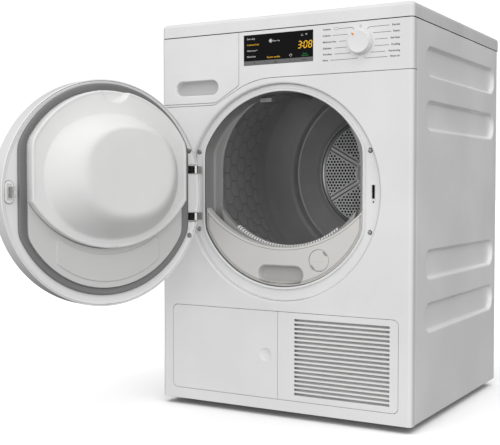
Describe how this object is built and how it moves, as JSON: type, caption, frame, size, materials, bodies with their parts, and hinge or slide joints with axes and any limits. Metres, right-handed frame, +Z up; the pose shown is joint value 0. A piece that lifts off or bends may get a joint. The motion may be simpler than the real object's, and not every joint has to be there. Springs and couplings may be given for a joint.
{
  "type": "clothes dryer",
  "caption": "Front-loading heat-pump clothes dryer with an open round door, pull-out container, lint filter and turning drum.",
  "frame": {"origin": "On the floor, under the middle of the whole object with its door open as stored", "axes": "+X to the right seen from the front, +Y from the front to the back of the cabinet, +Z up"},
  "size_m": [0.6772, 1.0482, 0.85],
  "materials": {
    "white_enamel": "smooth gloss",
    "white_lid": "satin enamel",
    "white_steel": "satin powder coat",
    "black_glass": "polished black display lens",
    "key_grey": "satin grey",
    "board": "circuit board",
    "zinc": "zinc plated sheet",
    "chrome": "bright plated",
    "drum_steel": "stainless, embossed",
    "seal_rubber": "matt grey",
    "belt_rubber": "matt black",
    "foot_rubber": "matt black",
    "filter_plastic": "satin light grey",
    "grey_plastic": "satin grey",
    "black_plastic": "matt black",
    "dark_metal": "matt dark paint",
    "fins": "bare fins",
    "foam": "open foam",
    "felt": "felt",
    "lens": "clear lens"
  },
  "bodies": {
    "cabinet": {"front_panel": "white_enamel", "control_fascia": "white_enamel", "grille_panel": "white_enamel", "door_surround": "white_enamel", "top_cover": "white_lid", "side_panel_left": "white_steel", "side_panel_right": "white_steel", "display_glass": "black_glass", "touch_key_bar": "key_grey", "control_board": "board", "rear_panel": "zinc", "rear_duct_cover": "zinc", "front_bulkhead": "zinc", "container_tray": "zinc", "hinge_bracket": "chrome", "ring_screw_upper_right": "chrome", "ring_screw_lower_right": "chrome", "ring_screw_upper_left": "chrome", "ring_screw_lower_left": "chrome", "drum_belt": "belt_rubber", "base_tray": "grey_plastic", "rear_air_duct": "grey_plastic", "mains_inlet": "black_plastic", "motor_stator": "dark_metal", "compressor": "dark_metal", "evaporator": "fins", "condenser": "fins", "plinth_filter": "foam", "drum_front_felt": "felt", "drum_lamp": "lens"},
    "door": {"door_outer_shell": "white_enamel", "door_inner_frame": "white_enamel", "door_seal": "seal_rubber", "door_bowl": "white_enamel", "door_lower_panel": "white_enamel", "door_hinge_block": "dark_metal", "door_screw_upper": "zinc", "door_screw_lower": "zinc", "latch_plate": "white_enamel"},
    "latch": {"latch_hook": "chrome"},
    "knob": {"programme_knob": "white_enamel"},
    "container": {"container_front": "white_enamel", "condensate_container": "grey_plastic"},
    "flap": {"service_flap": "white_enamel"},
    "filter": {"filter_front": "filter_plastic"},
    "sieve": {"lint_sieve": "filter_plastic"},
    "cap": {"fragrance_cap": "filter_plastic"},
    "drum": {"drum_shell": "drum_steel", "drum_back": "chrome", "drum_rib_1": "drum_steel", "drum_rib_2": "drum_steel", "drum_rib_3": "drum_steel"},
    "motor": {"motor_shaft": "zinc", "fan_impeller": "grey_plastic"},
    "roller_left": {"support_roller_left": "seal_rubber"},
    "roller_right": {"support_roller_right": "seal_rubber"},
    "front_left_foot": {"foot_front_left": "foot_rubber"},
    "front_right_foot": {"foot_front_right": "foot_rubber"},
    "rear_left_foot": {"foot_rear_left": "foot_rubber"},
    "rear_right_foot": {"foot_rear_right": "foot_rubber"}
  },
  "joints": [
    {"name": "door_hinge", "type": "hinge", "parent": "cabinet", "child": "door", "pos_m": [-0.17189, -0.09891, 0.476], "axis": [0, 0, -1], "range_deg": [-111.4, 53.6]},
    {"name": "latch_release", "type": "hinge", "parent": "door", "child": "latch", "pos_m": [-0.30034, -0.50343, 0.4785], "axis": [0, 0, 1], "range_deg": [0, 8], "stiffness_Nm_per_rad": 0.5, "springref_deg": -5.73},
    {"name": "programme_turn", "type": "hinge", "parent": "cabinet", "child": "knob", "pos_m": [0.22762, -0.05891, 0.777], "axis": [0, -1, 0], "continuous": true},
    {"name": "container_slide", "type": "slide", "parent": "cabinet", "child": "container", "axis": [0, -1, 0], "range_m": [0, 0.1]},
    {"name": "flap_hinge", "type": "hinge", "parent": "cabinet", "child": "flap", "pos_m": [-0.22909, -0.05891, 0.1315], "axis": [0, 0, -1], "range_deg": [0, 95]},
    {"name": "filter_slide", "type": "slide", "parent": "cabinet", "child": "filter", "axis": [0, -1, 0], "range_m": [0, 0.03]},
    {"name": "sieve_lift", "type": "slide", "parent": "filter", "child": "sieve", "axis": [0, 0, 1], "range_m": [0, 0.05]},
    {"name": "cap_turn", "type": "hinge", "parent": "filter", "child": "cap", "pos_m": [0.12962, -0.04841, 0.3355], "axis": [0, -1, 0], "range_deg": [0, 90]},
    {"name": "drum_spin", "type": "hinge", "parent": "cabinet", "child": "drum", "pos_m": [0.04061, -0.00511, 0.523], "axis": [0, 1, 0], "continuous": true},
    {"name": "motor_spin", "type": "hinge", "parent": "cabinet", "child": "motor", "pos_m": [-0.08939, 0.26609, 0.155], "axis": [0, 1, 0], "continuous": true},
    {"name": "roller_left_spin", "type": "hinge", "parent": "cabinet", "child": "roller_left", "pos_m": [-0.11238, 0.00109, 0.258], "axis": [0, 1, 0], "continuous": true},
    {"name": "roller_right_spin", "type": "hinge", "parent": "cabinet", "child": "roller_right", "pos_m": [0.19362, 0.00109, 0.258], "axis": [0, 1, 0], "continuous": true},
    {"name": "front_left_foot_turn", "type": "hinge", "parent": "cabinet", "child": "front_left_foot", "pos_m": [-0.20739, 0.01609, 0], "axis": [0, 0, 1], "continuous": true},
    {"name": "front_right_foot_turn", "type": "hinge", "parent": "cabinet", "child": "front_right_foot", "pos_m": [0.28862, 0.01609, 0], "axis": [0, 0, 1], "continuous": true},
    {"name": "rear_left_foot_turn", "type": "hinge", "parent": "cabinet", "child": "rear_left_foot", "pos_m": [-0.20739, 0.45609, 0], "axis": [0, 0, 1], "continuous": true},
    {"name": "rear_right_foot_turn", "type": "hinge", "parent": "cabinet", "child": "rear_right_foot", "pos_m": [0.28862, 0.45609, 0], "axis": [0, 0, 1], "continuous": true}
  ],
  "couplings": [
    {"joint": "motor_spin", "follows": "drum_spin", "ratio": 22.975},
    {"joint": "roller_left_spin", "follows": "drum_spin", "ratio": -9.19},
    {"joint": "roller_right_spin", "follows": "drum_spin", "ratio": -9.19}
  ]
}
